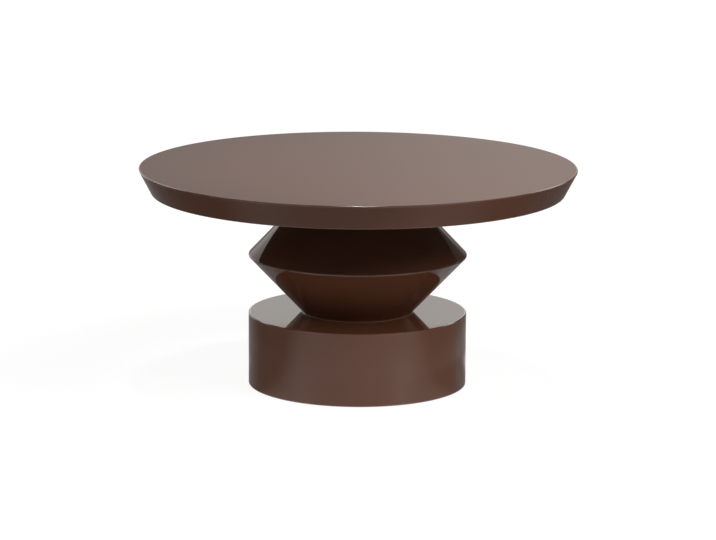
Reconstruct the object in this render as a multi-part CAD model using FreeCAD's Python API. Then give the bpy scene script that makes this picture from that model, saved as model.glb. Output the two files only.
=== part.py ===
import FreeCAD
import Part
import math
import os

# Round cocktail table: a bevelled top on a double-cone pedestal and a low drum,
# stacked on one tie rod. All sizes in millimetres, floor at z = 0, +Z up.

# Tabletop
top_diameter = 914.4
top_thickness = 50.8
upper_board_thickness = 25.4
top_undercut = 25.4  # how far the bevel runs in from rim to underside
top_rim_round = 2.0
top_foot_round = 1.5

# Pedestal
pedestal_diameter = 457.2  # of the drum and of the cones' waist, which stand in line
neck_diameter = 228.6
cone_height = 122.0  # each of the two frustums
cone_wall = 19.05
waist_round = 2.0
waist_land = 0.4  # short upright edge left at the waist on each frustum
waist_ledge = 15.0  # width of the shoulder that the waist disc sits on
waist_disc_thickness = 19.05
neck_round = 2.0
neck_disc_thickness = 25.4

# Drum
drum_height = 152.4
drum_wall_thickness = 19.05
drum_top_round = 3.0
drum_rim_round = 1.5
floor_reveal = 2.0  # the drum's rim clears the floor by this much
lid_thickness = 25.4
lid_lip = 12.7  # part of the lid that covers the wall
rib_thickness = 19.05
rib_spacing = 150.0
bottom_thickness = 19.05

# Joint between pedestal and top
cleat_inset = 12.7  # the cleat stands back from the neck and leaves a shadow gap
cleat_thickness = 12.7
cleat_screw_count = 8
cleat_screw_inset = 21.6
cleat_screw_length = 34.0
anchor_side = 80.0
anchor_corner = 8.0
anchor_thickness = 6.35
anchor_hub_diameter = 28.0
anchor_hub_height = 15.0

# Tie rod and its hardware
rod_diameter = 12.7
rod_hole_diameter = 14.3
rod_end_chamfer = 1.2
rod_short_of_hub = 1.0
rod_past_nut = 3.5
washer_diameter = 44.0
washer_thickness = 3.2
nut_across_flats = 19.05
nut_height = 11.1
hexagon_chamfer_angle = 30.0
plate_block_gap = 15.0  # from the weight plate to the glide blocks
plate_thickness = 9.525
plate_edge_chamfer = 1.0
plate_screw_count = 4
plate_screw_first_angle = 0.0
plate_screw_inset = 20.0
plate_screw_length = 25.0

# Dowels
dowel_diameter = 9.525
dowel_depth = 10.0  # in each of the two pieces
dowel_end_gap = 1.0
dowel_chamfer = 0.8
dowel_count = 3
dowel_first_angle = 90.0
dowel_inset = 26.0  # from the edge of the neck disc

# Countersunk wood screws
screw_diameter = 4.8
screw_head_diameter = 9.5
screw_point = 6.0
screw_drive = 2.8
screw_drive_depth = 2.2
bottom_screw_length = 44.0
bottom_screw_offset = 130.0  # from the middle of each rib, both ways
block_screw_length = 32.0
block_screw_offset = 20.0

# Levellers
leveller_count = 4
leveller_first_angle = 45.0
block_side = 60.0
block_wall_gap = 5.0  # from a block's outer corners to the drum wall
block_corner = 4.0
block_thickness = 19.05
tee_flange_diameter = 22.0
tee_flange_thickness = 1.6
tee_barrel_diameter = 12.0
tee_length = 13.0
stud_diameter = 9.525
stud_length = 36.0  # above the collar
stud_hole_diameter = 11.5
stud_tip_chamfer = 1.0
collar_across_flats = 15.875
collar_height = 4.8
pivot_diameter = 8.0
pivot_length = 4.5
pad_diameter = 34.0
pad_neck_diameter = 22.0
pad_side_height = 4.5
pad_height = 9.5
pad_edge_round = 1.6

# Clearances, each on a radius or on one side
glue_gap = 0.15
thread_gap = 0.05
screw_gap = 0.05
pocket_gap = 0.3
pivot_gap = 0.08
seat_gap = 0.3
cut_over = 1.0  # how far a cutting tool runs past the face that it opens

up = FreeCAD.Vector(0, 0, 1)
origin = FreeCAD.Vector(0, 0, 0)

# Levels, from the floor up
z_rim = floor_reveal
z_lid = z_rim + drum_height
z_waist = z_lid + cone_height
z_neck = z_waist + cone_height
z_under = z_neck + cleat_thickness
z_joint = z_under + top_thickness - upper_board_thickness
z_top = z_under + top_thickness
z_collar = pad_height + seat_gap
z_block = z_collar + collar_height + seat_gap
z_bottom = z_block + block_thickness
z_ribs = z_bottom + bottom_thickness
z_plug = z_lid - lid_thickness
z_plate = z_bottom - plate_thickness
z_washer = z_plate - washer_thickness
z_nut = z_washer - nut_height

drum_radius = pedestal_diameter / 2
drum_inner = drum_radius - drum_wall_thickness
cleat_radius = neck_diameter / 2 - cleat_inset
leveller_radius = math.sqrt((drum_inner - block_wall_gap) ** 2 - (block_side / 2) ** 2) - block_side / 2
plate_radius = leveller_radius - block_side / 2 - plate_block_gap


def rounded_corner(before, corner, after, radius):
    # Start, middle and end of the arc that rounds a corner of a profile.
    back = (before - corner).normalize()
    ahead = (after - corner).normalize()
    half = back.getAngle(ahead) / 2
    run = radius / math.tan(half)
    inward = (back + ahead).normalize()
    centre = corner + inward * (radius / math.sin(half))
    return corner + back * run, centre - inward * radius, corner + ahead * run


def turned(profile):
    # Solid of revolution from (radius, height) corners. A third number rounds the corner.
    corners = [FreeCAD.Vector(c[0], 0, c[1]) for c in profile]
    edges = []
    ends = []
    for i, corner in enumerate(corners):
        start, end = corner, corner
        if len(profile[i]) > 2:
            after = corners[(i + 1) % len(corners)]
            start, middle, end = rounded_corner(corners[i - 1], corner, after, profile[i][2])
            edges.append(Part.Arc(start, middle, end).toShape())
        ends.append((start, end))
    for i, (start, _) in enumerate(ends):
        edges.append(Part.makeLine(ends[i - 1][1], start))
    wire = Part.Wire(Part.__sortEdges__(edges))
    return Part.Face(wire).revolve(origin, up, 360)


def cylinder(radius, z0, z1, x=0, y=0):
    return Part.makeCylinder(radius, z1 - z0, FreeCAD.Vector(x, y, z0))


def hexagon(across_flats, z0, z1):
    corner = across_flats / math.sqrt(3)
    points = []
    for i in range(7):
        angle = math.radians(60 * i)
        points.append(FreeCAD.Vector(corner * math.cos(angle), corner * math.sin(angle), z0))
    return Part.Face(Part.makePolygon(points)).extrude(up * (z1 - z0))


def chamfered_hexagon(across_flats, z0, z1):
    # Hexagon with its corners turned off, as on a nut.
    flat = across_flats / 2
    corner = across_flats / math.sqrt(3)
    drop = (corner - flat) * math.tan(math.radians(hexagon_chamfer_angle))
    barrel = turned([(0, z0), (flat, z0), (corner, z0 + drop), (corner, z1 - drop), (flat, z1), (0, z1)])
    return hexagon(across_flats, z0, z1).common(barrel)


def square_plate(side, corner, z0, z1):
    plate = Part.makeBox(side, side, z1 - z0, FreeCAD.Vector(-side / 2, -side / 2, z0))
    upright = [e for e in plate.Edges if abs(e.tangentAt(e.FirstParameter).z) > 0.5]
    return plate.makeFillet(corner, upright)


def around(count, radius, first_angle):
    places = []
    for i in range(count):
        angle = math.radians(first_angle + 360 * i / count)
        places.append((radius * math.cos(angle), radius * math.sin(angle)))
    return places


def moved(shape, x, y, z=0):
    copy = shape.copy()
    copy.translate(FreeCAD.Vector(x, y, z))
    return copy


def turned_about(shape, angle):
    copy = shape.copy()
    copy.rotate(origin, up, angle)
    return copy


def screw_shape(length, gap):
    # Countersunk head at z = 0, point upwards.
    shank = screw_diameter / 2 + gap
    head = screw_head_diameter / 2 + gap
    taper = head - shank
    return turned([(0, 0), (head, 0), (shank, taper), (shank, length - screw_point), (0, length + gap)])


def wood_screws(places, z, length):
    drive = Part.makeBox(screw_drive, screw_drive, screw_drive_depth)
    drive.translate(FreeCAD.Vector(-screw_drive / 2, -screw_drive / 2, 0))
    screw = screw_shape(length, 0).cut(drive)
    return Part.makeCompound([moved(screw, x, y, z) for x, y in places])


def screw_holes(places, z, length):
    hole = screw_shape(length, screw_gap)
    return [moved(hole, x, y, z) for x, y in places]


def dowels(places, z):
    radius = dowel_diameter / 2
    inner = radius - dowel_chamfer
    low = -dowel_depth
    high = dowel_depth
    dowel = turned(
        [
            (0, low),
            (inner, low),
            (radius, low + dowel_chamfer),
            (radius, high - dowel_chamfer),
            (inner, high),
            (0, high),
        ]
    )
    return Part.makeCompound([moved(dowel, x, y, z) for x, y in places])


def dowel_holes(places, z):
    reach = dowel_depth + dowel_end_gap
    return [cylinder(dowel_diameter / 2 + glue_gap, z - reach, z + reach, x, y) for x, y in places]


def rod_hole(z0, z1):
    return cylinder(rod_hole_diameter / 2, z0 - cut_over, z1 + cut_over)


# Cone geometry, for the lower frustum; the upper one is its mirror image
waist_radius = pedestal_diameter / 2
neck_radius = neck_diameter / 2
cone_spread = waist_radius - neck_radius
cone_angle = math.atan2(cone_spread, cone_height)  # from upright
z_waist_corner = z_waist - waist_land - waist_round * math.tan(cone_angle / 2)
cone_slope = cone_spread / (z_waist_corner - z_lid)
cone_wall_across = cone_wall * math.hypot(1, cone_slope)
z_ledge = z_waist - waist_disc_thickness / 2


def cone_inner(z):
    return neck_radius - cone_wall_across + (z - z_lid) * cone_slope


waist_seat = cone_inner(z_ledge) + waist_ledge

# Places of the repeated hardware
cleat_screw_places = around(cleat_screw_count, cleat_radius - cleat_screw_inset, 180 / cleat_screw_count)
plate_screw_places = around(plate_screw_count, plate_radius - plate_screw_inset, plate_screw_first_angle)
dowel_places = around(dowel_count, cone_inner(z_lid) - dowel_inset, dowel_first_angle)
leveller_places = around(leveller_count, leveller_radius, leveller_first_angle)
bottom_screw_places = []
block_screw_places = []
for side in (-1, 1):
    for end in (-1, 1):
        bottom_screw_places.append((side * rib_spacing / 2, end * bottom_screw_offset))
        bottom_screw_places.append((end * bottom_screw_offset, side * rib_spacing / 2))
for x, y in leveller_places:
    for side in (-block_screw_offset, block_screw_offset):
        block_screw_places.append((x - side * y / leveller_radius, y + side * x / leveller_radius))


def upside_down(shape):
    # The upper frustum and its plug are the lower ones mirrored at the waist.
    return shape.mirror(FreeCAD.Vector(0, 0, z_waist), up)


def cone_shell():
    return turned(
        [
            (cone_inner(z_lid), z_lid),
            (neck_radius, z_lid, neck_round),
            (waist_radius, z_waist_corner, waist_round),
            (waist_radius, z_waist),
            (waist_seat, z_waist),
            (waist_seat, z_ledge),
            (cone_inner(z_ledge), z_ledge),
        ]
    )


def neck_disc():
    z1 = z_lid + neck_disc_thickness
    plug = turned(
        [(0, z_lid), (cone_inner(z_lid) - glue_gap, z_lid), (cone_inner(z1) - glue_gap, z1), (0, z1)]
    )
    return plug.cut([rod_hole(z_lid, z1)] + dowel_holes(dowel_places, z_lid))


def waist_disc():
    z1 = z_ledge + waist_disc_thickness
    return cylinder(waist_seat - glue_gap, z_ledge, z1).cut(rod_hole(z_ledge, z1))


# Tabletop: the rim's rounding is laid inside the finished diameter
bevel_turn = math.pi / 2 + math.atan2(top_undercut, top_thickness)
rim_radius = top_diameter / 2 + top_rim_round * (math.tan(bevel_turn / 2) - 1)
foot_radius = top_diameter / 2 - top_undercut
board_joint_radius = foot_radius + (rim_radius - foot_radius) * (z_joint - z_under) / top_thickness


def anchor_plate():
    z1 = z_under + anchor_thickness
    plate = square_plate(anchor_side, anchor_corner, z_under, z1)
    plate = plate.fuse(cylinder(anchor_hub_diameter / 2, z1, z1 + anchor_hub_height)).removeSplitter()
    thread = cylinder(rod_diameter / 2 + thread_gap, z_under - cut_over, z1 + anchor_hub_height + cut_over)
    return plate.cut(thread)


def anchor_pocket():
    z1 = z_under + anchor_thickness + pocket_gap
    pocket = square_plate(anchor_side + 2 * pocket_gap, anchor_corner, z_under - cut_over, z1)
    hub = cylinder(anchor_hub_diameter / 2 + pocket_gap, z_under, z1 + anchor_hub_height + pocket_gap)
    return pocket.fuse(hub)


def tabletop_upper_board():
    return turned(
        [(0, z_joint), (board_joint_radius, z_joint), (rim_radius, z_top, top_rim_round), (0, z_top)]
    )


def tabletop_lower_board():
    board = turned(
        [(0, z_under), (foot_radius, z_under, top_foot_round), (board_joint_radius, z_joint), (0, z_joint)]
    )
    return board.cut([anchor_pocket()] + screw_holes(cleat_screw_places, z_neck, cleat_screw_length))


def top_cleat():
    cleat = cylinder(cleat_radius, z_neck, z_under)
    holes = screw_holes(cleat_screw_places, z_neck, cleat_screw_length)
    return cleat.cut([rod_hole(z_neck, z_under)] + holes + dowel_holes(dowel_places, z_neck))


def drum_lid():
    lid = turned(
        [
            (0, z_plug),
            (drum_inner - glue_gap, z_plug),
            (drum_inner - glue_gap, z_lid - lid_lip),
            (drum_radius, z_lid - lid_lip),
            (drum_radius, z_lid, drum_top_round),
            (0, z_lid),
        ]
    )
    return lid.cut([rod_hole(z_plug, z_lid)] + dowel_holes(dowel_places, z_lid))


def drum_wall():
    return turned(
        [
            (drum_inner, z_rim, drum_rim_round),
            (drum_radius, z_rim, drum_rim_round),
            (drum_radius, z_lid - lid_lip),
            (drum_inner, z_lid - lid_lip),
        ]
    )


def drum_rib(angle, lap_from_top):
    # One of four ribs, laid at x = half the spacing and then turned to its side.
    x0 = (rib_spacing - rib_thickness) / 2
    height = z_plug - z_ribs
    board = Part.makeBox(rib_thickness, 2 * drum_radius, height, FreeCAD.Vector(x0, -drum_radius, z_ribs))
    board = board.common(cylinder(drum_inner - glue_gap, z_ribs, z_plug))
    lap = rib_thickness + 2 * glue_gap
    z0 = z_ribs + height / 2 if lap_from_top else z_ribs - cut_over
    cuts = []
    for y in (-rib_spacing / 2, rib_spacing / 2):
        corner = FreeCAD.Vector(x0 - glue_gap, y - lap / 2, z0)
        cuts.append(Part.makeBox(lap, lap, height / 2 + cut_over, corner))
    board = turned_about(board.cut(cuts), angle)
    return board.cut(screw_holes(bottom_screw_places, z_bottom, bottom_screw_length))


def drum_bottom():
    panel = cylinder(drum_inner - glue_gap, z_bottom, z_ribs)
    cuts = [rod_hole(z_bottom, z_ribs)]
    cuts += screw_holes(bottom_screw_places, z_bottom, bottom_screw_length)
    cuts += screw_holes(plate_screw_places, z_plate, plate_screw_length)
    cuts += screw_holes(block_screw_places, z_block, block_screw_length)
    for x, y in leveller_places:
        cuts.append(cylinder(stud_hole_diameter / 2, z_bottom - cut_over, z_ribs + cut_over, x, y))
    return panel.cut(cuts)


def weight_plate():
    plate = turned(
        [
            (0, z_plate),
            (plate_radius - plate_edge_chamfer, z_plate),
            (plate_radius, z_plate + plate_edge_chamfer),
            (plate_radius, z_bottom),
            (0, z_bottom),
        ]
    )
    holes = screw_holes(plate_screw_places, z_plate, plate_screw_length)
    return plate.cut([rod_hole(z_plate, z_bottom)] + holes)


def tie_rod():
    z0 = z_nut - rod_past_nut
    z1 = z_under + anchor_thickness + anchor_hub_height - rod_short_of_hub
    radius = rod_diameter / 2
    tip = radius - rod_end_chamfer
    return turned(
        [
            (0, z0),
            (tip, z0),
            (radius, z0 + rod_end_chamfer),
            (radius, z1 - rod_end_chamfer),
            (tip, z1),
            (0, z1),
        ]
    )


def rod_washer():
    return cylinder(washer_diameter / 2, z_washer, z_plate).cut(rod_hole(z_washer, z_plate))


def rod_nut():
    thread = cylinder(rod_diameter / 2 + thread_gap, z_nut - cut_over, z_washer + cut_over)
    return chamfered_hexagon(nut_across_flats, z_nut, z_washer).cut(thread)


def glide_blocks():
    block = square_plate(block_side, block_corner, z_block, z_bottom)
    block = block.cut(
        [
            cylinder(tee_flange_diameter / 2 + screw_gap, z_block - cut_over, z_block + tee_flange_thickness),
            cylinder(tee_barrel_diameter / 2 + screw_gap, z_block, z_block + tee_length),
            cylinder(stud_hole_diameter / 2, z_block, z_bottom + cut_over),
        ]
    )
    holes = screw_holes(block_screw_places, z_block, block_screw_length)
    blocks = []
    for x, y in leveller_places:
        angle = math.degrees(math.atan2(y, x))
        blocks.append(moved(turned_about(block, angle), x, y).cut(holes))
    return Part.makeCompound(blocks)


def tee_nuts():
    bore = stud_diameter / 2 + thread_gap
    z1 = z_block + tee_flange_thickness
    nut = turned(
        [
            (bore, z_block),
            (tee_flange_diameter / 2, z_block),
            (tee_flange_diameter / 2, z1),
            (tee_barrel_diameter / 2, z1),
            (tee_barrel_diameter / 2, z_block + tee_length),
            (bore, z_block + tee_length),
        ]
    )
    return Part.makeCompound([moved(nut, x, y) for x, y in leveller_places])


def leveller_stud():
    z0 = z_collar + collar_height
    z1 = z0 + stud_length
    radius = stud_diameter / 2
    tip = radius - stud_tip_chamfer
    pivot = pivot_diameter / 2
    shaft = turned(
        [
            (0, z_collar - pivot_length),
            (pivot, z_collar - pivot_length),
            (pivot, z_collar),
            (radius, z_collar),
            (radius, z1 - stud_tip_chamfer),
            (tip, z1),
            (0, z1),
        ]
    )
    return shaft.fuse(chamfered_hexagon(collar_across_flats, z_collar, z0)).removeSplitter()


def leveller_pad():
    # Foot with a socket that the stud's pivot turns in.
    socket = pivot_diameter / 2 + pivot_gap
    z_socket = z_collar - pivot_length - seat_gap
    return turned(
        [
            (0, 0),
            (pad_diameter / 2, 0, pad_edge_round),
            (pad_diameter / 2, pad_side_height, pad_edge_round),
            (pad_neck_diameter / 2, pad_height),
            (socket, pad_height),
            (socket, z_socket),
            (0, z_socket),
        ]
    )


def all_pieces():
    pieces = {
        "tabletop_upper_board": tabletop_upper_board(),
        "tabletop_lower_board": tabletop_lower_board(),
        "top_cleat": top_cleat(),
        "cleat_screws": wood_screws(cleat_screw_places, z_neck, cleat_screw_length),
        "anchor_plate": anchor_plate(),
        "tie_rod": tie_rod(),
        "upper_cone": upside_down(cone_shell()),
        "upper_neck_disc": upside_down(neck_disc()),
        "waist_disc": waist_disc(),
        "lower_cone": cone_shell(),
        "lower_neck_disc": neck_disc(),
        "upper_dowels": dowels(dowel_places, z_neck),
        "lower_dowels": dowels(dowel_places, z_lid),
        "drum_lid": drum_lid(),
        "drum_wall": drum_wall(),
        "drum_rib_right": drum_rib(0, True),
        "drum_rib_left": drum_rib(180, True),
        "drum_rib_back": drum_rib(90, False),
        "drum_rib_front": drum_rib(270, False),
        "drum_bottom": drum_bottom(),
        "bottom_screws": wood_screws(bottom_screw_places, z_bottom, bottom_screw_length),
        "weight_plate": weight_plate(),
        "plate_screws": wood_screws(plate_screw_places, z_plate, plate_screw_length),
        "rod_washer": rod_washer(),
        "rod_nut": rod_nut(),
        "glide_blocks": glide_blocks(),
        "block_screws": wood_screws(block_screw_places, z_block, block_screw_length),
        "tee_nuts": tee_nuts(),
    }
    for number, (x, y) in enumerate(leveller_places, 1):
        pieces["leveller_%d_stud" % number] = moved(leveller_stud(), x, y)
        pieces["leveller_%d_pad" % number] = moved(leveller_pad(), x, y)
    return pieces


os.makedirs("parts", exist_ok=True)
for name, shape in all_pieces().items():
    shape.exportStep("parts/%s.step" % name)
    print(name, len(shape.Solids), shape.isValid(), round(shape.Volume / 1000, 2), "cm3")
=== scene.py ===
import math

import bpy
from mathutils import Matrix, Vector


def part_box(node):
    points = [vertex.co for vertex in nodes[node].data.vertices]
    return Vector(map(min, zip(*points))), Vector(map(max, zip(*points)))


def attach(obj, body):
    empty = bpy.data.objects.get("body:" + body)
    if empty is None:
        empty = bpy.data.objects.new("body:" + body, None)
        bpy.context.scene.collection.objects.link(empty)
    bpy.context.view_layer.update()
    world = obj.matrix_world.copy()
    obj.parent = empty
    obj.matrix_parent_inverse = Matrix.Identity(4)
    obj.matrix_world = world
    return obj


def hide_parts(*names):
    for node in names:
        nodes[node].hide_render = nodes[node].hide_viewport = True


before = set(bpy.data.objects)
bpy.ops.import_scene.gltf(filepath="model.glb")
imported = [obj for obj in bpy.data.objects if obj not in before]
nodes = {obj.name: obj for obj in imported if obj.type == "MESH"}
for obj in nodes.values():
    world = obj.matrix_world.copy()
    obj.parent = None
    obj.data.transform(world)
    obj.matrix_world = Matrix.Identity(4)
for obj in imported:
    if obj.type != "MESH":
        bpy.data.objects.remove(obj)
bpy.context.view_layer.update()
levellers = range(1, 5)
mm = 0.001
touching = 1e-6  # mm, points closer than this are one
offZero = 0.0001  # keeps a shader's divisor off zero
print("frame loaded,", len(nodes), "nodes")


class Wire:  # a node's output socket, so that shader maths reads as Python
    def __init__(self, finish, socket):
        self.finish = finish
        self.socket = socket

    def maths(self, operation, *values):
        return self.finish.add("ShaderNodeMath", {"operation": operation}, dict(enumerate(values)))

    def __add__(self, other):
        return self.maths("ADD", self, other)

    def __radd__(self, other):
        return self.maths("ADD", other, self)

    def __sub__(self, other):
        return self.maths("SUBTRACT", self, other)

    def __rsub__(self, other):
        return self.maths("SUBTRACT", other, self)

    def __mul__(self, other):
        return self.maths("MULTIPLY", self, other)

    def __rmul__(self, other):
        return self.maths("MULTIPLY", other, self)

    def __truediv__(self, other):
        return self.maths("DIVIDE", self, other)

    def __rtruediv__(self, other):
        return self.maths("DIVIDE", other, self)

    def __pow__(self, other):
        return self.maths("POWER", self, other)

    def __mod__(self, other):
        return self.maths("FLOORED_MODULO", self, other)

    def size(self):  # without its sign
        return self.maths("ABSOLUTE", self)

    def rise(self, low, high):  # 0 below low, 1 above high, soft between
        settings = {"interpolation_type": "SMOOTHSTEP"}
        return self.finish.add("ShaderNodeMapRange", settings, {0: self, 1: low, 2: high, 3: 0.0, 4: 1.0})


class Finish:  # one material, or the world, and its nodes
    def __init__(self, name, owner=None):
        self.owner = owner or bpy.data.materials.new(name)
        self.owner.use_nodes = True
        self.tree = self.owner.node_tree
        self.tree.nodes.clear()

    def add(self, kind, settings=None, values=None, out=0):
        node = self.tree.nodes.new(kind)
        for key, value in (settings or {}).items():
            setattr(node, key, value)
        for key, value in (values or {}).items():
            if isinstance(value, Wire):
                self.tree.links.new(value.socket, node.inputs[key])
            else:
                node.inputs[key].default_value = value
        return Wire(self, node.outputs[out]) if node.outputs else None

    def place(self):  # the piece's own coordinates, in metres
        return self.add("ShaderNodeTexCoord", out="Object")

    def axes(self, vector):
        x = self.add("ShaderNodeSeparateXYZ", {}, {"Vector": vector})
        outs = x.socket.node.outputs
        return x, Wire(self, outs["Y"]), Wire(self, outs["Z"])

    def radius(self, x, y):  # distance from the table's axis
        return (x * x + y * y) ** 0.5

    def stretch(self, vector, scale):
        return self.add("ShaderNodeVectorMath", {"operation": "MULTIPLY"}, {0: vector, 1: scale})

    def noise(self, vector, scale, detail=2.0, rough=0.5, warp=0.0):
        values = {"Vector": vector, "Scale": scale, "Detail": detail, "Roughness": rough, "Distortion": warp}
        return self.add("ShaderNodeTexNoise", {}, values)

    def mix(self, factor, first, second):  # sockets 6 and 7 take the colours, and output 2 gives one
        values = {0: factor, 6: self.colour(first), 7: self.colour(second)}
        return self.add("ShaderNodeMix", {"data_type": "RGBA"}, values, out=2)

    def colour(self, value):
        return value if isinstance(value, Wire) else (*value, 1.0)

    def bump(self, height, distance, below=None):
        values = {"Height": height, "Distance": distance, "Strength": 1.0}
        if below:
            values["Normal"] = below
        return self.add("ShaderNodeBump", {}, values)

    def surface(self, base, rough, normal, **others):
        values = {"Base Color": self.colour(base), "Roughness": rough, "Normal": normal}
        values.update({key.replace("_", " "): value for key, value in others.items()})
        return self.done(self.add("ShaderNodeBsdfPrincipled", {}, values))

    def done(self, shader, kind="ShaderNodeOutputMaterial"):
        self.add(kind, {}, {0: shader})
        return self.owner


# Brown gloss lacquer, sprayed over the glued boards and polished
lacquer = {
    "brown": (0.093, 0.0357, 0.0188),
    "deep": (0.089, 0.0337, 0.0177),
    "thin": (0.125, 0.056, 0.033),  # where it thins over an edge
    "fleckShare": 0.06,
    "wornShare": 0.15,
    "gloss": 0.03,  # roughness, and what haze, polishing swirls and wear add to it
    "haze": 0.012,
    "swirl": 0.008,
    "wear": 0.03,
    "peel": 1.6e-6,  # bumps, in m
    "wave": 1.0e-5,
    "ior": 1.46,
    "rubbedIor": 1.28,  # the top is rubbed down, so it mirrors less
    "film": 0.12,  # mm, its face over the boards
    "back": 0.02,  # and its back
    "facets": 360,
}


def lacquerFinish(name, ior):
    f = Finish(name)
    at = f.place()
    cloud = f.noise(at, scale=2.6, detail=3.0, rough=0.55).rise(0.3, 0.7)
    fleck = f.noise(at, scale=1500.0, detail=1.0).rise(0.62, 0.8)
    edge = f.add("ShaderNodeAttribute", {"attribute_name": "edge"}, out="Fac")
    worn = edge * f.noise(at, scale=38.0, detail=3.0, rough=0.6).rise(0.4, 0.8)
    base = f.mix(cloud, lacquer["deep"], lacquer["brown"])
    base = f.mix(fleck * lacquer["fleckShare"], base, lacquer["thin"])
    base = f.mix(worn * lacquer["wornShare"], base, lacquer["thin"])
    drawn = f.stretch(at, (1.0, 1.0, 0.3))
    swirl = f.noise(drawn, scale=420.0, detail=4.0, rough=0.7, warp=0.6).rise(0.6, 0.8)
    haze = f.noise(at, scale=7.0, detail=4.0, rough=0.6).rise(0.4, 0.75)
    gloss = lacquer["gloss"] + haze * lacquer["haze"] + swirl * lacquer["swirl"] + worn * lacquer["wear"]
    wave = f.bump(f.noise(at, scale=9.0, detail=1.0), lacquer["wave"])
    peel = f.bump(f.noise(at, scale=330.0, detail=2.0, rough=0.45), lacquer["peel"], wave)
    polish = edge.rise(0.7, 1.0)  # edges keep their polish
    return f.surface(base, gloss, peel, IOR=ior, Coat_Weight=polish)


# The boards under the film: fibreboard with primer and overspray, seen only inside the drum's rim
board = {
    "fibre": (0.2, 0.13, 0.078),
    "fuzz": (0.27, 0.18, 0.11),
    "primer": (0.055, 0.03, 0.021),
    "sprayTo": 11 * mm,  # the overspray reaches up to here, with a ragged end
    "sprayFade": 20 * mm,
    "ragged": 30 * mm,
    "bareShare": 0.55,
    "rough": (0.42, 0.4),  # least, and what the fuzz adds
    "nap": 6.0e-5,
}


def boardFinish():
    f = Finish("primedFibreboard")
    at = f.place()
    height = f.axes(at)[2]
    fuzz = f.noise(at, scale=900.0, detail=4.0, rough=0.7)
    patch = f.noise(at, scale=26.0, detail=4.0, rough=0.6)
    sprayTo, ragged = board["sprayTo"], board["ragged"]
    bare = (height + patch * ragged - ragged / 2).rise(sprayTo, sprayTo + board["sprayFade"])
    fibre = f.mix(fuzz.rise(0.35, 0.7), board["fibre"], board["fuzz"])
    base = f.mix(bare * board["bareShare"], board["primer"], fibre)
    least, fuzzed = board["rough"]
    return f.surface(base, least + fuzz * fuzzed, f.bump(fuzz, board["nap"]))


# Plywood: crossed veneers along the board's thickness
plywood = {
    "ply": 1.6 * mm,
    "pale": (0.6, 0.42, 0.25),
    "warm": (0.46, 0.29, 0.15),
    "glue": (0.2, 0.11, 0.05),
    "stain": (0.028, 0.018, 0.014),
    "along": 14.0,  # fineness of the grain, along and across a veneer
    "across": 230.0,
    "crossShare": 0.3,
    "glueShare": 0.7,
    "rough": (0.5, 0.3),  # least, and what the grain adds
    "relief": 9.0e-5,
}


def plywoodFinish(name, axis, stain):
    f = Finish(name)
    at = f.place()
    layer = f.axes(at)[axis] / plywood["ply"]
    crossed = (layer % 2.0).rise(0.98, 1.02)
    grains = []
    for run in [n for n in range(3) if n != axis]:  # every second veneer lies across the others
        fineness = [plywood["across"]] * 3
        fineness[run] = plywood["along"]
        grains.append(f.noise(f.stretch(at, fineness), scale=1.0, detail=5.0, rough=0.65, warp=0.4))
    first, second = grains
    grain = first + crossed * (second - first)
    base = f.mix(grain.rise(0.3, 0.72), plywood["pale"], plywood["warm"])
    base = f.mix(crossed * plywood["crossShare"], base, plywood["warm"])
    seam = 1.0 - (layer % 1.0).rise(0.03, 0.1)
    base = f.mix(seam * plywood["glueShare"], base, plywood["glue"])
    wiped = stain * (0.8 + 0.2 * f.noise(at, scale=60.0, detail=3.0))  # uneven by a fifth
    base = f.mix(wiped, base, plywood["stain"])
    least, grained = plywood["rough"]
    return f.surface(base, least + grain * grained, f.bump(grain - seam * 0.5, plywood["relief"]))


# Black rolled paint on the bottom panel and the blocks
blackPaint = {
    "black": (0.021, 0.02, 0.019),
    "raised": (0.032, 0.03, 0.028),
    "dust": (0.085, 0.078, 0.07),
    "raisedShare": 0.35,
    "dustShare": 0.35,
    "rough": (0.46, 0.2, 0.2),  # least, and what stipple and dust add
    "ridge": 0.25,
    "stipple": 1.1e-4,
}


def blackBoardFinish():
    f = Finish("blackRolledPaint")
    at = f.place()
    height = f.axes(at)[2]
    stipple = f.noise(at, scale=420.0, detail=3.0, rough=0.55)
    fine = f.noise(at, scale=1700.0, detail=2.0)
    dust = f.noise(at, scale=16.0, detail=5.0, rough=0.65).rise(0.5, 0.8) * fine.rise(0.35, 0.7)
    raised = stipple.rise(0.3, 0.8) * blackPaint["raisedShare"]
    base = f.mix(raised, blackPaint["black"], blackPaint["raised"])
    base = f.mix(dust * blackPaint["dustShare"], base, blackPaint["dust"])
    plies = (height / plywood["ply"] % 1.0).rise(0.0, 0.25)  # they telegraph through on the sides
    ridges = plies * blackPaint["ridge"]
    relief = f.bump(stipple + fine * 0.3 + ridges, blackPaint["stipple"])
    least, stippled, dusted = blackPaint["rough"]
    return f.surface(base, least + stipple * stippled + dust * dusted, relief)


# Powder-coated steel, rubbed bright on the weight plate's rim
blackSteel = {
    "coat": (0.021, 0.021, 0.022),
    "grit": (0.045, 0.045, 0.046),
    "scratch": (0.12, 0.12, 0.12),
    "steel": (0.42, 0.41, 0.4),
    "plate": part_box("weight_plate")[1].x,
    "rubbed": (1.4 * mm, 0.2 * mm),  # inside the rim, where it starts and where it is full
    "gritShare": 0.3,
    "scratchShare": 0.35,
    "rough": (0.4, 0.25, 0.15),  # least, what the grit adds, and what bare steel takes off
    "relief": 7.0e-5,
}


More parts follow.
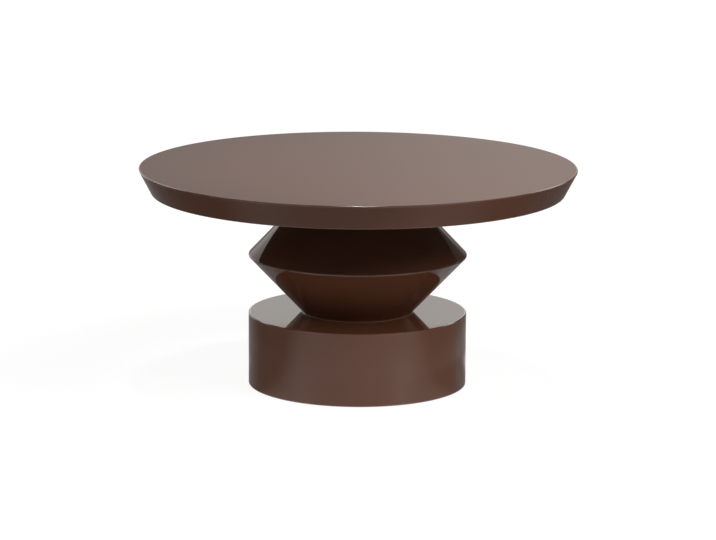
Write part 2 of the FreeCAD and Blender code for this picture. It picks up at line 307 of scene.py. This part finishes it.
def blackSteelFinish():
    f = Finish("blackPowderCoat")
    at = f.place()
    x, y, _ = f.axes(at)
    grit = f.noise(at, scale=1300.0, detail=3.0, rough=0.6)
    rub = f.noise(at, scale=70.0, detail=5.0, rough=0.7)
    rim = f.radius(x, y).rise(*[blackSteel["plate"] - inside for inside in blackSteel["rubbed"]])
    bare = rim * rub.rise(0.5, 0.62)
    drawn = f.stretch(at, (30.0, 700.0, 700.0))
    scratch = f.noise(drawn, scale=1.0, detail=3.0, rough=0.6, warp=0.5).rise(0.72, 0.8) * rub.rise(0.45, 0.7)
    base = f.mix(grit.rise(0.4, 0.75) * blackSteel["gritShare"], blackSteel["coat"], blackSteel["grit"])
    base = f.mix(scratch * blackSteel["scratchShare"], base, blackSteel["scratch"])
    base = f.mix(bare, base, blackSteel["steel"])
    least, gritty, polished = blackSteel["rough"]
    rough = least + grit * gritty - bare * polished
    return f.surface(base, rough, f.bump(grit, blackSteel["relief"]), Metallic=bare)


# Zinc plate with a faint blue and straw tint
zinc = {
    "bright": (0.62, 0.63, 0.64),
    "blue": (0.52, 0.56, 0.63),
    "straw": (0.64, 0.6, 0.5),
    "dull": (0.33, 0.33, 0.32),
    "strawShare": 0.6,
    "dullShare": 0.4,
    "rough": (0.26, 0.14, 0.2),  # least, and what spangle and dull patches add
    "relief": 1.2e-5,
}


def zincFinish():
    f = Finish("zincPlatedSteel")
    at = f.place()
    tint = f.noise(at, scale=110.0, detail=3.0, rough=0.6)
    spangle = f.noise(at, scale=900.0, detail=2.0, rough=0.5)
    base = f.mix(tint.rise(0.4, 0.62), zinc["blue"], zinc["bright"])
    base = f.mix(tint.rise(0.56, 0.74) * zinc["strawShare"], base, zinc["straw"])
    dull = f.noise(at, scale=240.0, detail=5.0, rough=0.7).rise(0.55, 0.75)
    base = f.mix(dull * zinc["dullShare"], base, zinc["dull"])
    least, spangled, dulled = zinc["rough"]
    rough = least + spangle * spangled + dull * dulled
    return f.surface(base, rough, f.bump(spangle, zinc["relief"]), Metallic=1.0)


# Beech dowels, grain along their length
beech = {
    "pale": (0.6, 0.43, 0.28),
    "dark": (0.5, 0.33, 0.19),
    "fleck": (0.4, 0.24, 0.13),
    "fleckShare": 0.6,
    "rough": (0.5, 0.2),  # least, and what the grain adds
    "relief": 5.0e-5,
}


def beechFinish():
    f = Finish("beechDowel")
    at = f.place()
    grain = f.noise(f.stretch(at, (420.0, 420.0, 24.0)), scale=1.0, detail=5.0, rough=0.6, warp=0.3)
    fleck = f.noise(f.stretch(at, (1500.0, 1500.0, 190.0)), scale=1.0, detail=2.0).rise(0.6, 0.72)
    base = f.mix(grain.rise(0.3, 0.75), beech["pale"], beech["dark"])
    base = f.mix(fleck * beech["fleckShare"], base, beech["fleck"])
    least, grained = beech["rough"]
    return f.surface(base, least + grain * grained, f.bump(grain - fleck * 0.3, beech["relief"]))


# Moulded nylon feet, scuffed where they stand on the floor
nylon = {
    "black": (0.03, 0.03, 0.031),
    "grain": (0.042, 0.042, 0.043),
    "scuff": (0.16, 0.155, 0.15),
    "sole": (0.3 * mm, 1.6 * mm),  # heights between which the scuffs end
    "grainShare": 0.3,
    "scuffShare": 0.6,
    "rough": (0.38, 0.12, 0.3),  # least, and what grain and scuffs add
    "relief": 3.0e-5,
}


def nylonFinish():
    f = Finish("mouldedNylon")
    at = f.place()
    height = f.axes(at)[2]
    grain = f.noise(at, scale=2200.0, detail=2.0, rough=0.5)
    sole = 1.0 - height.rise(*nylon["sole"])
    drawn = f.stretch(at, (180.0, 1300.0, 1300.0))
    scuff = sole * f.noise(drawn, scale=1.0, detail=4.0, rough=0.65, warp=0.6).rise(0.45, 0.75)
    base = f.mix(grain.rise(0.4, 0.7) * nylon["grainShare"], nylon["black"], nylon["grain"])
    base = f.mix(scuff * nylon["scuffShare"], base, nylon["scuff"])
    least, grained, scuffed = nylon["rough"]
    rough = least + grain * grained + scuff * scuffed
    return f.surface(base, rough, f.bump(grain + scuff * 0.6, nylon["relief"]))


brownLacquer = lacquerFinish("brownLacquer", lacquer["ior"])
rubbedLacquer = lacquerFinish("rubbedLacquer", lacquer["rubbedIor"])
zincPlate = zincFinish()
nodeFinish = {
    boardFinish(): ["tabletop_upper_board", "tabletop_lower_board", "upper_cone", "lower_cone", "drum_lid",
                    "drum_wall"],
    plywoodFinish("plywoodFlat", axis=2, stain=0.0): ["upper_neck_disc", "waist_disc", "lower_neck_disc"],
    plywoodFinish("plywoodStained", axis=2, stain=0.9): ["top_cleat"],
    plywoodFinish("plywoodRibX", axis=0, stain=0.0): ["drum_rib_right", "drum_rib_left"],
    plywoodFinish("plywoodRibY", axis=1, stain=0.0): ["drum_rib_back", "drum_rib_front"],
    blackBoardFinish(): ["drum_bottom", "glide_blocks"],
    beechFinish(): ["upper_dowels", "lower_dowels"],
    blackSteelFinish(): ["weight_plate", "anchor_plate"],
    zincPlate: ["tie_rod", "rod_washer", "rod_nut", "tee_nuts", "cleat_screws", "bottom_screws",
                "plate_screws", "block_screws"] + ["leveller_%d_stud" % n for n in levellers],
    nylonFinish(): ["leveller_%d_pad" % n for n in levellers],
}
for finish, names in nodeFinish.items():
    for name in names:
        nodes[name].data.materials.clear()
        nodes[name].data.materials.append(finish)
print("finishes mixed,", len(nodeFinish), "for the solids and two lacquers")


def newPiece(name, verts, faces, finish, body, slot):
    mesh = bpy.data.meshes.new(name)
    mesh.from_pydata(verts, [], faces)
    mesh.polygons.foreach_set("use_smooth", [True] * len(faces))
    mesh.materials.append(finish)
    piece = bpy.data.objects.new(name, mesh)
    bpy.context.collection.objects.link(piece)
    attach(piece, body)
    return piece


def around(x, y, radius, angle, height):  # a point on a ring, from mm to m
    return x + radius * mm * math.cos(angle), y + radius * mm * math.sin(angle), height * mm


def roundedProfile(corners, steps=8):
    # (radius, height, rounding) corners in mm, open at both ends, with the air on the right-hand side
    flat = [Vector(c[:2]) for c in corners]
    points = []
    for i, corner in enumerate(flat):
        runs = [(b - a).normalized() for a, b in zip(flat[max(i - 1, 0):i + 1], flat[i:i + 2]) if a != b]
        if len(corners[i]) < 3:
            points += [(corner, Vector((run.y, -run.x)), 0.0) for run in runs]
            continue
        back, ahead, rounding = -runs[0], runs[1], corners[i][2]
        half = back.angle(ahead) / 2
        middle = (back + ahead).normalized()
        centre = corner + middle * (rounding / math.sin(half))
        hollow = middle.dot(Vector((runs[0].y, -runs[0].x))) > 0
        first = corner + back * (rounding / math.tan(half)) - centre
        outward, edge = (-1, 0.0) if hollow else (1, 1.0)
        sweep = (math.pi - 2 * half) * outward
        for s in range(steps + 1):
            spoke = Matrix.Rotation(sweep * s / steps, 2) @ first
            points.append((centre + spoke, spoke.normalized() * outward, edge))
    return points


# Rings beside each rounding, in mm from it, where the edge mask fades out
edgeFade = {"rings": (1.5, 3.5, 7.0), "shortestRun": 17.5, "sameNormal": 1e-3}


def withSupport(points):
    offsets = edgeFade["rings"]
    fades = [(1 - d / offsets[-1]) ** 2 for d in offsets]
    rings = [points[0]]
    for (a, na, ea), (b, nb, eb) in zip(points, points[1:]):
        run = b - a
        if (na - nb).length < edgeFade["sameNormal"] and run.length > edgeFade["shortestRun"]:
            along = run.normalized()
            if ea:
                rings += [(a + along * d, na, fade) for d, fade in zip(offsets, fades)]
            if eb:
                rings += [(b - along * d, nb, fade) for d, fade in zip(offsets[::-1], fades[::-1])]
        rings.append((b, nb, eb))
    return rings


def lathe(points, segments, x=0.0, y=0.0):
    # vertices, normals, edge mask and faces of a turned surface
    verts, normals, edges, faces, rows = [], [], [], [], []
    for place, normal, edge in points:
        row = []
        for s in range(segments if place.x > touching else 1):
            a = 2 * math.pi * s / segments
            row.append(len(verts))
            verts.append(around(x, y, place.x, a, place.y))
            normals.append((normal.x * math.cos(a), normal.x * math.sin(a), normal.y))
            edges.append(edge)
        rows.append(row * segments if len(row) == 1 else row)
    for i in range(len(rows) - 1):
        low, high = rows[i], rows[i + 1]
        onAxis = low[0] == low[-1] and high[0] == high[-1]
        if onAxis or (points[i][0] - points[i + 1][0]).length < touching:
            continue
        for s in range(segments):
            t = (s + 1) % segments
            faces.append(tuple(dict.fromkeys((low[s], low[t], high[t], high[s]))))
    return verts, normals, edges, faces


def coat(name, corners, finish):
    # one film over the boards: it bridges the glue joints, so they don't show
    outline = roundedProfile(corners)
    face = [(place + normal * lacquer["film"], normal, edge) for place, normal, edge in outline]
    face = withSupport(face)
    back = [(place + normal * lacquer["back"], -normal, edge) for place, normal, edge in reversed(outline)]
    verts, normals, edges, faces = lathe(face + back + face[:1], lacquer["facets"])
    piece = newPiece(name, verts, faces, finish, "table", "brown_lacquer")
    piece.data.normals_split_custom_set_from_vertices(normals)
    piece.data.attributes.new("edge", "FLOAT", "POINT").data.foreach_set("value", edges)


def level(node, end):  # lowest (0) or highest (1) point of a solid, in mm
    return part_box(node)[end].z / mm


# The lacquered form; radii and roundings as in the solids, in mm
form = {
    "topRadius": 457.2, "undercut": 25.4, "rimRound": 2.0, "footRound": 1.5,
    "cleat": 101.6, "neck": 114.3, "neckRound": 2.0, "bead": 1.8,
    "drum": 228.6, "drumWall": 19.05, "waistRound": 2.0, "waistLand": 0.4, "lidRound": 3.0, "rimEase": 1.5,
    "beadReach": 5,  # the lower cone's film starts this far out on the lid
    "lidLap": 1,  # and the lid's own film stops this far from the neck
    "insideRim": 7,  # height of the film inside the drum
}
rim, lid = level("drum_wall", 0), level("drum_lid", 1)
waist, neck = level("lower_cone", 1), level("upper_cone", 1)
under, face = level("tabletop_lower_board", 0), level("tabletop_upper_board", 1)
bevelTurn = math.pi / 2 + math.atan2(form["undercut"], face - under)
rimCorner = form["topRadius"] + form["rimRound"] * (math.tan(bevelTurn / 2) - 1)
coneTurn = math.atan2(form["drum"] - form["neck"], waist - lid)
waistDrop = form["waistLand"] + form["waistRound"] * math.tan(coneTurn / 2)
drumInside = form["drum"] - form["drumWall"]

coat("tabletopLacquer", [
    (form["cleat"], under),
    (form["topRadius"] - form["undercut"], under, form["footRound"]),
    (rimCorner, face, form["rimRound"]),
    (0, face),
], rubbedLacquer)
coat("upperConeLacquer", [
    (form["drum"], waist),
    (form["drum"], waist + waistDrop, form["waistRound"]),
    (form["neck"], neck, form["neckRound"]),
    (form["cleat"], neck),
], brownLacquer)
coat("lowerConeLacquer", [  # starts in the bead that fills the corner on the lid
    (form["neck"] + form["beadReach"], lid),
    (form["neck"], lid, form["bead"]),
    (form["drum"], waist - waistDrop, form["waistRound"]),
    (form["drum"], waist),
], brownLacquer)
coat("drumLacquer", [
    (drumInside, rim + form["insideRim"]),
    (drumInside, rim, form["rimEase"]),
    (form["drum"], rim, form["rimEase"]),
    (form["drum"], lid, form["lidRound"]),
    (form["neck"] + form["lidLap"], lid),
], brownLacquer)
print("lacquer coats turned")


def closedTurn(corners, segments, x=0.0, y=0.0):
    # a closed turned solid from (radius, height) corners in mm
    verts, _, _, faces = lathe([(Vector(c), Vector((1, 0)), 0.0) for c in corners], segments, x, y)
    return verts, faces


# Screw threads: foot and crest are half widths in pitches, and the ridge grows in from a thin end
thread = {
    "sunk": 0.2,  # mm into the core
    "foot": 0.47,
    "crest": 0.07,
    "thinEnd": 0.02,  # share of the full height, and what a turn adds
    "growth": 1.5,
    "narrow": 0.3,  # share of the full width at the end
    "steps": 28,  # to a turn
}


def threadRidge(core, crest, pitch, low, high, x=0.0, y=0.0):
    # one helical ridge that runs out at both ends
    steps, thin, growth, narrow = thread["steps"], thread["thinEnd"], thread["growth"], thread["narrow"]
    root = core - thread["sunk"]
    foot, land = thread["foot"], thread["crest"]
    section = [(root, -foot), (crest, -land), (crest, land), (root, foot)]
    corners = len(section)
    count = int((high - low) / pitch * steps)
    verts, faces = [], []
    for i in range(count + 1):
        full = min(1.0, thin + i / steps * growth, thin + (count - i) / steps * growth)
        for radius, offset in section:
            r = root + (radius - root) * full
            z = low + pitch * (i / steps + offset * (narrow + (1 - narrow) * full))
            verts.append(around(x, y, r, 2 * math.pi * i / steps, min(max(z, low), high)))
    for i in range(count):
        here, ahead = corners * i, corners * (i + 1)
        for j in range(corners):
            k = (j + 1) % corners
            faces.append((here + j, ahead + j, ahead + k, here + k))
    faces += [tuple(range(corners)), tuple(corners * count + j for j in reversed(range(corners)))]
    return verts, faces


def hexBarrel(flats, low, high, x, y, inner, steps=72, inset=0.15, slope=30):
    # hexagon collar whose corners are turned off, open in the middle
    flat = flats / 2
    columns = []
    for s in range(steps):
        a = 2 * math.pi * s / steps
        hexagon = flat / math.cos((a + math.pi / 6) % (math.pi / 3) - math.pi / 6)
        drop = (hexagon - flat + inset) * math.tan(math.radians(slope))
        turned = [(inner, low), (flat - inset, low), (hexagon, low + drop),
                  (hexagon, high - drop), (flat - inset, high), (inner, high)]
        columns.append([around(x, y, radius, a, height) for radius, height in turned])
    return gridSolid(list(zip(*columns)))


def gridSolid(rows):
    # closed skin over rings of equal count, the last ring joined to the first
    steps = len(rows[0])
    verts = [v for row in rows for v in row]
    faces = []
    for i in range(len(rows)):
        k = (i + 1) % len(rows)
        for s in range(steps):
            t = (s + 1) % steps
            faces.append((i * steps + s, i * steps + t, k * steps + t, k * steps + s))
    return verts, faces


def joined(shapes):
    verts, faces = [], []
    for v, f in shapes:
        faces += [tuple(len(verts) + n for n in face) for face in f]
        verts += v
    return verts, faces


def zincPiece(name, shapes, body, node, crispAngle=32):
    # plated hardware with crisp edges, in place of its plain solid
    piece = newPiece(name, *joined(shapes), zincPlate, body, "zinc_steel")
    piece.data.set_sharp_from_angle(angle=math.radians(crispAngle))
    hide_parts(node)


# Tie rod, 1/2-13 thread from end to end
rod = {"crest": 6.33, "core": 5.2, "pitch": 25.4 / 13, "chamfer": 0.9, "bareEnd": 0.5, "facets": 40}


def tieRod():
    low, high = level("tie_rod", 0), level("tie_rod", 1)
    core, chamfer, bare = rod["core"], rod["chamfer"], rod["bareEnd"]
    tip = core - chamfer
    profile = [(0, low), (tip, low), (core, low + chamfer), (core, high - chamfer), (tip, high), (0, high)]
    shaft = closedTurn(profile, rod["facets"])
    ridge = threadRidge(core, rod["crest"], rod["pitch"], low + bare, high - bare)
    zincPiece("threadedTieRod", [shaft, ridge], "table", "tie_rod")


# Levelling studs, 3/8-16 thread over a hexagon collar
stud = {
    "crest": 4.74, "core": 3.85, "pitch": 25.4 / 16, "chamfer": 0.8, "facets": 36,
    "bareFoot": 0.2, "bareTip": 0.3,  # where the thread stops
    "collar": 15.875, "collarHeight": 4.8, "collarWall": 0.8,
    "overPad": 0.3, "sunk": 0.4,  # shaft and pivot run into the collar
    "pivot": 4.0, "pivotEase": 0.4,
}


def levellingStud(number):
    node = "leveller_%d_stud" % number
    low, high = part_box(node)
    x, y = (low.x + high.x) / 2, (low.y + high.y) / 2
    bottom, top = low.z / mm, high.z / mm
    collar = level("leveller_%d_pad" % number, 1) + stud["overPad"]
    seat = collar + stud["collarHeight"]
    core, chamfer, sunk = stud["core"], stud["chamfer"], stud["sunk"]
    pivot, ease = stud["pivot"], stud["pivotEase"]
    shaft = [(0, seat - sunk), (core, seat - sunk), (core, top - chamfer), (core - chamfer, top), (0, top)]
    pin = [(0, bottom), (pivot - ease, bottom), (pivot, bottom + ease),
           (pivot, collar + sunk), (0, collar + sunk)]
    zincPiece("threadedStud%d" % number, [
        closedTurn(shaft, stud["facets"], x, y),
        closedTurn(pin, stud["facets"], x, y),
        threadRidge(core, stud["crest"], stud["pitch"], seat + stud["bareFoot"], top - stud["bareTip"], x, y),
        hexBarrel(stud["collar"], collar, seat, x, y, core - stud["collarWall"]),
    ], node, node)
    return x, y


# Tee nuts, pressed from sheet: notched flange with its prongs turned up into the block
teeNut = {
    "flange": 11.0, "sheet": 1.6, "barrel": 6.0, "bore": 4.82, "length": 13.0, "facets": 120,
    "flare": 0.5, "lowerEase": 0.25, "upperEase": 0.2, "notch": 2.6, "notchHalfAngle": 0.24,
    "prong": 7.0, "prongFoot": 1.2, "prongAt": 8.0, "prongSheet": 0.8, "prongWidth": 4.0, "prongTip": 0.6,
}


def teeNutBody(x, y, low):
    nut = teeNut
    outline = [  # (radius, height), with no radius on the flange's notched edge
        (nut["bore"] + nut["flare"], 0), (None, nut["lowerEase"]), (None, nut["sheet"] - nut["upperEase"]),
        (nut["barrel"], nut["sheet"]), (nut["barrel"], nut["length"]),
        (nut["bore"], nut["length"]), (nut["bore"], nut["flare"]),
    ]
    rows = []
    for radius, height in outline:
        row = []
        for s in range(nut["facets"]):
            a = 2 * math.pi * s / nut["facets"]
            side = abs((a + math.pi / 4) % (math.pi / 2) - math.pi / 4)  # angle from the nearest notch
            bite = nut["notch"] if side < nut["notchHalfAngle"] else 0.0
            row.append(around(x, y, radius or nut["flange"] - bite, a, low + height))
        rows.append(row)
    return gridSolid(rows)


def teeNutProng(x, y, low, a):
    foot, point = teeNut["prongFoot"], teeNut["prong"]
    middle, half = teeNut["prongAt"], teeNut["prongSheet"] / 2
    wide, tip = teeNut["prongWidth"] / 2, teeNut["prongTip"] / 2
    verts = []
    for radial, across, height in ((middle - half, -wide, foot), (middle - half, wide, foot),
                                   (middle + half, wide, foot), (middle + half, -wide, foot),
                                   (middle, -tip, point), (middle, tip, point)):
        px = radial * math.cos(a) - across * math.sin(a)
        py = radial * math.sin(a) + across * math.cos(a)
        verts.append((x + px * mm, y + py * mm, (low + height) * mm))
    return verts, [(3, 2, 1, 0), (0, 1, 5, 4), (2, 3, 4, 5), (1, 2, 5), (3, 0, 4)]


def teeNuts(places):
    low = level("tee_nuts", 0)
    shapes = []
    for x, y in places:
        shapes.append(teeNutBody(x, y, low))
        shapes += [teeNutProng(x, y, low, math.pi / 2 * n) for n in range(4)]
    zincPiece("pressedTeeNuts", shapes, "table", "tee_nuts")


tieRod()
teeNuts([levellingStud(number) for number in levellers])
print("threads and tee nuts made")

# Studio: the table stands on white paper in a dark room, and the camera sees plain white all round
studio = {
    "mirrorWhite": 0.04,  # how much of that white the lacquer shows
    "sensor": 36.0,
    "lens": 168.85,
    "shift": 0.0005,
    "camera": (0.0, -6.9046, 1.6522),
    "pitch": 0.2015,
    "roll": 0.0056,
}


def seenWhite(f):
    camera = f.add("ShaderNodeLightPath", out="Is Camera Ray")
    outs = camera.socket.node.outputs
    mirrored = Wire(f, outs["Is Glossy Ray"]) * studio["mirrorWhite"]
    return camera + mirrored + Wire(f, outs["Is Transmission Ray"])


def stagePlane(name, corners, finish):
    mesh = bpy.data.meshes.new(name)
    mesh.from_pydata(corners, [], [(0, 1, 2, 3)])
    mesh.materials.append(finish)
    plane = bpy.data.objects.new(name, mesh)
    bpy.context.collection.objects.link(plane)
    return plane


# Paper floor, with two patches of painted glow, painted light that the lacquer mirrors
paperFloor = {
    "half": 20.0,
    "grey": (0.3, 0.3, 0.3),
    "rough": 0.4,
    "shade": (0.16, 0.16, 0.16),  # carries the shadow that the camera sees
    "white": 0.89,  # the white the camera sees, painted darker near the table as painted shade, and 1 further out
    "whiteReach": (0.5, 1.3),
    "paintedPool": 0.56,  # painted pool of light: the paper glows in front of the drum
    "paintedPoolTurn": (0.3, 0.7),
    "paintedPoolReach": (0.9, 1.2),
    "foot": (0.12, 0.4),  # and painted glow close behind it, left and right
    "paintedFootTurn": (0.3, 0.6),
    "paintedFootReach": (0.36, 0.46),
    "paintedFootMiddle": (-0.1, 0.1),
}


def floorFinish():
    f = Finish("studioFloor")
    x, y, _ = f.axes(f.place())
    away = f.radius(x, y) + offZero
    back = y / away
    # painted pool of light: glow on the paper in front of the drum
    paintedPool = (0.0 - back).rise(*paperFloor["paintedPoolTurn"]) * (1.0 - away.rise(*paperFloor["paintedPoolReach"]))
    paintedPool = paintedPool * paperFloor["paintedPool"]
    # painted light: the paper glows close behind the drum, more on the right
    foot = back.rise(*paperFloor["paintedFootTurn"]) * (1.0 - away.rise(*paperFloor["paintedFootReach"]))
    left, right = paperFloor["foot"]
    foot = foot * (left + (right - left) * x.rise(*paperFloor["paintedFootMiddle"]))
    paper = f.add("ShaderNodeBsdfPrincipled", {}, {
        "Base Color": f.colour(paperFloor["grey"]), "Roughness": paperFloor["rough"],
        "Emission Color": paintedPool + foot, "Emission Strength": 1.0,
    })
    shade = f.add("ShaderNodeBsdfDiffuse", {}, {"Color": f.colour(paperFloor["shade"])})
    # painted shade: the white the camera sees is dimmer close to the table
    pale = paperFloor["white"] + (1.0 - paperFloor["white"]) * away.rise(*paperFloor["whiteReach"])
    white = f.add("ShaderNodeEmission", {}, {"Color": pale, "Strength": 1.0})
    lit = f.add("ShaderNodeAddShader", {}, {0: shade, 1: white})
    top = f.add("ShaderNodeMixShader", {}, {0: seenWhite(f), 1: paper, 2: lit})
    behind = f.add("ShaderNodeNewGeometry", out="Backfacing")  # from below the floor is clear
    clear = f.add("ShaderNodeBsdfTransparent")
    return f.done(f.add("ShaderNodeMixShader", {}, {0: behind, 1: top, 2: clear}))


# Glowing card behind the table, unseen by the camera: its painted bright and dark bands are what the top, the
# lid and the sides of the upper cone mirror
backCard = {
    "half": 3.4,
    "behind": 2.4,
    "tall": 3.2,
    "low": (0.27, 0.25, 0.24),
    "strip": (1.03, 1.0, 0.96),
    "stripFrom": (0.44, 0.52),  # heights
    "stripTo": (0.7, 0.78),
    "left": (0.417, 0.39, 0.376),  # above the strip
    "right": (0.59, 0.555, 0.536),
    "middle": (-0.45, 0.65),
    "farLeft": (0.75, 0.67, 0.64),
    "farLeftEnd": (-1.2, -0.7),
    "farRight": (0.13, 0.1, 0.085),
    "farRightEnd": (0.7, 1.2),
    "outside": (0.08, 0.08, 0.08),
    "fadeUp": (1.4, 3.0),
    "fadeOut": (1.9, 3.3),
}


def backCardFinish():
    f = Finish("backCard")
    x, _, z = f.axes(f.place())
    # painted reflection: bands of glow, bright and dark, for the lacquer to mirror
    high = f.mix(x.rise(*backCard["middle"]), backCard["left"], backCard["right"])
    glow = f.mix(z.rise(*backCard["stripFrom"]), backCard["low"], backCard["strip"])
    glow = f.mix(z.rise(*backCard["stripTo"]), glow, high)
    glow = f.mix(x.rise(*backCard["farRightEnd"]), glow, backCard["farRight"])
    glow = f.mix(x.rise(*backCard["farLeftEnd"]), backCard["farLeft"], glow)
    fade = (1.0 - z.rise(*backCard["fadeUp"])) * (1.0 - x.size().rise(*backCard["fadeOut"]))
    glow = f.mix(fade, backCard["outside"], glow)
    return f.done(f.add("ShaderNodeEmission", {}, {"Color": glow, "Strength": 1.0}))


# Dark room, with a low glow at both sides and a band of light high in front
room = {
    "dim": 0.01,
    "sides": 0.26,
    "sidesFrom": (-0.06, 0.0),  # heights on the unit sphere
    "sidesTo": (0.25, 0.4),
    "sidesTurn": (0.3, 0.7),
    "sidesBack": (-0.7, -0.3),
    "front": 1.6,
    "frontFrom": (0.5, 0.58),
    "frontTo": (0.68, 0.76),
    "frontTurn": (0.0, 0.6),
}


def darkRoom():
    f = Finish("tent", bpy.data.worlds.new("tent"))
    x, y, z = f.axes(f.add("ShaderNodeTexCoord", out="Generated"))
    flat = (x * x + y * y + offZero) ** 0.5
    ahead, aside = (0.0 - y) / flat, x / flat
    low = z.rise(*room["sidesFrom"]) * (1.0 - z.rise(*room["sidesTo"])) * ahead.rise(*room["sidesBack"])
    sides = aside.size().rise(*room["sidesTurn"]) * room["sides"]
    high = ahead.rise(*room["frontTurn"]) * z.rise(*room["frontFrom"]) * (1.0 - z.rise(*room["frontTo"]))
    glow = room["dim"] + low * sides + high * room["front"]
    white = seenWhite(f)
    sky = f.add("ShaderNodeBackground", {}, {"Color": glow + white * (1.0 - glow), "Strength": 1.0})
    bpy.context.scene.world = f.done(sky, "ShaderNodeOutputWorld")


# Lamps: the boxes in front light the table, and only their bright middles, the glints, are mirrored
keyAt, fillAt, frontAim = (1.486, -1.438, 1.603), (-1.732, -1.1, 1.603), (0.0, -0.1, 0.15)
lamps = {
    "keyBox": dict(place=keyAt, aim=frontAim, size=1.0, radiance=11.2, spread=60, mirrored=False),
    "fillBox": dict(place=fillAt, aim=frontAim, size=1.0, radiance=4.5, spread=60, mirrored=False),
    "keyGlint": dict(place=keyAt, aim=frontAim, size=0.3, radiance=200.0, spread=60, lights=False),
    "fillGlint": dict(place=fillAt, aim=frontAim, size=0.3, radiance=130.0, spread=60, lights=False),
    "backRight": dict(place=(1.5, 1.3, 1.5), aim=(0.15, 0.15, 0.1), size=0.9, radiance=3.2, spread=70),
    "backLeft": dict(place=(-1.5, 1.3, 1.5), aim=(-0.15, 0.15, 0.1), size=0.9, radiance=1.9, spread=70),
    "topBox": dict(place=(0.12, 0.0, 2.4), aim=(0.12, 0.0, 0.4), size=1.1, radiance=64.0, spread=15),
    # just off the floor, for looks from below
    "underBox": dict(place=(0.0, 0.0, 0.001), aim=(0.0, 0.0, 0.1), size=0.36, radiance=1.0, spread=120),
}


def softbox(name, place, aim, size, radiance, spread, lights=True, mirrored=True):
    lamp = bpy.data.lights.new(name, "AREA")
    lamp.shape = "DISK"
    lamp.size = size
    lamp.spread = math.radians(spread)  # a grid keeps the light on the table
    lamp.energy = radiance * math.pi * size * size * (1 - math.cos(lamp.spread / 2))
    box = bpy.data.objects.new(name, lamp)
    box.location = place
    box.rotation_euler = (Vector(aim) - Vector(place)).to_track_quat("-Z", "Y").to_euler()
    box.visible_camera = False
    box.visible_diffuse = lights
    box.visible_glossy = mirrored
    bpy.context.collection.objects.link(box)


half = paperFloor["half"]
floorCorners = [(-half, -half, 0), (half, -half, 0), (half, half, 0), (-half, half, 0)]
stagePlane("studioFloor", floorCorners, floorFinish())
wide, far, tall = backCard["half"], backCard["behind"], backCard["tall"]
cardCorners = [(-wide, far, 0), (wide, far, 0), (wide, far, tall), (-wide, far, tall)]
card = stagePlane("backCard", cardCorners, backCardFinish())
card.visible_camera = False
darkRoom()
for name, lamp in lamps.items():
    softbox(name, **lamp)

lens = bpy.data.cameras.new("camera")
lens.sensor_width = studio["sensor"]
lens.lens = studio["lens"]
lens.shift_x = studio["shift"]
camera = bpy.data.objects.new("camera", lens)
tilt = Matrix.Rotation(math.pi / 2 - studio["pitch"], 4, "X") @ Matrix.Rotation(studio["roll"], 4, "Z")
camera.matrix_world = Matrix.Translation(studio["camera"]) @ tilt
bpy.context.collection.objects.link(camera)
bpy.context.scene.camera = camera
bpy.context.scene.view_settings.view_transform = "Standard"
print("studio lit")
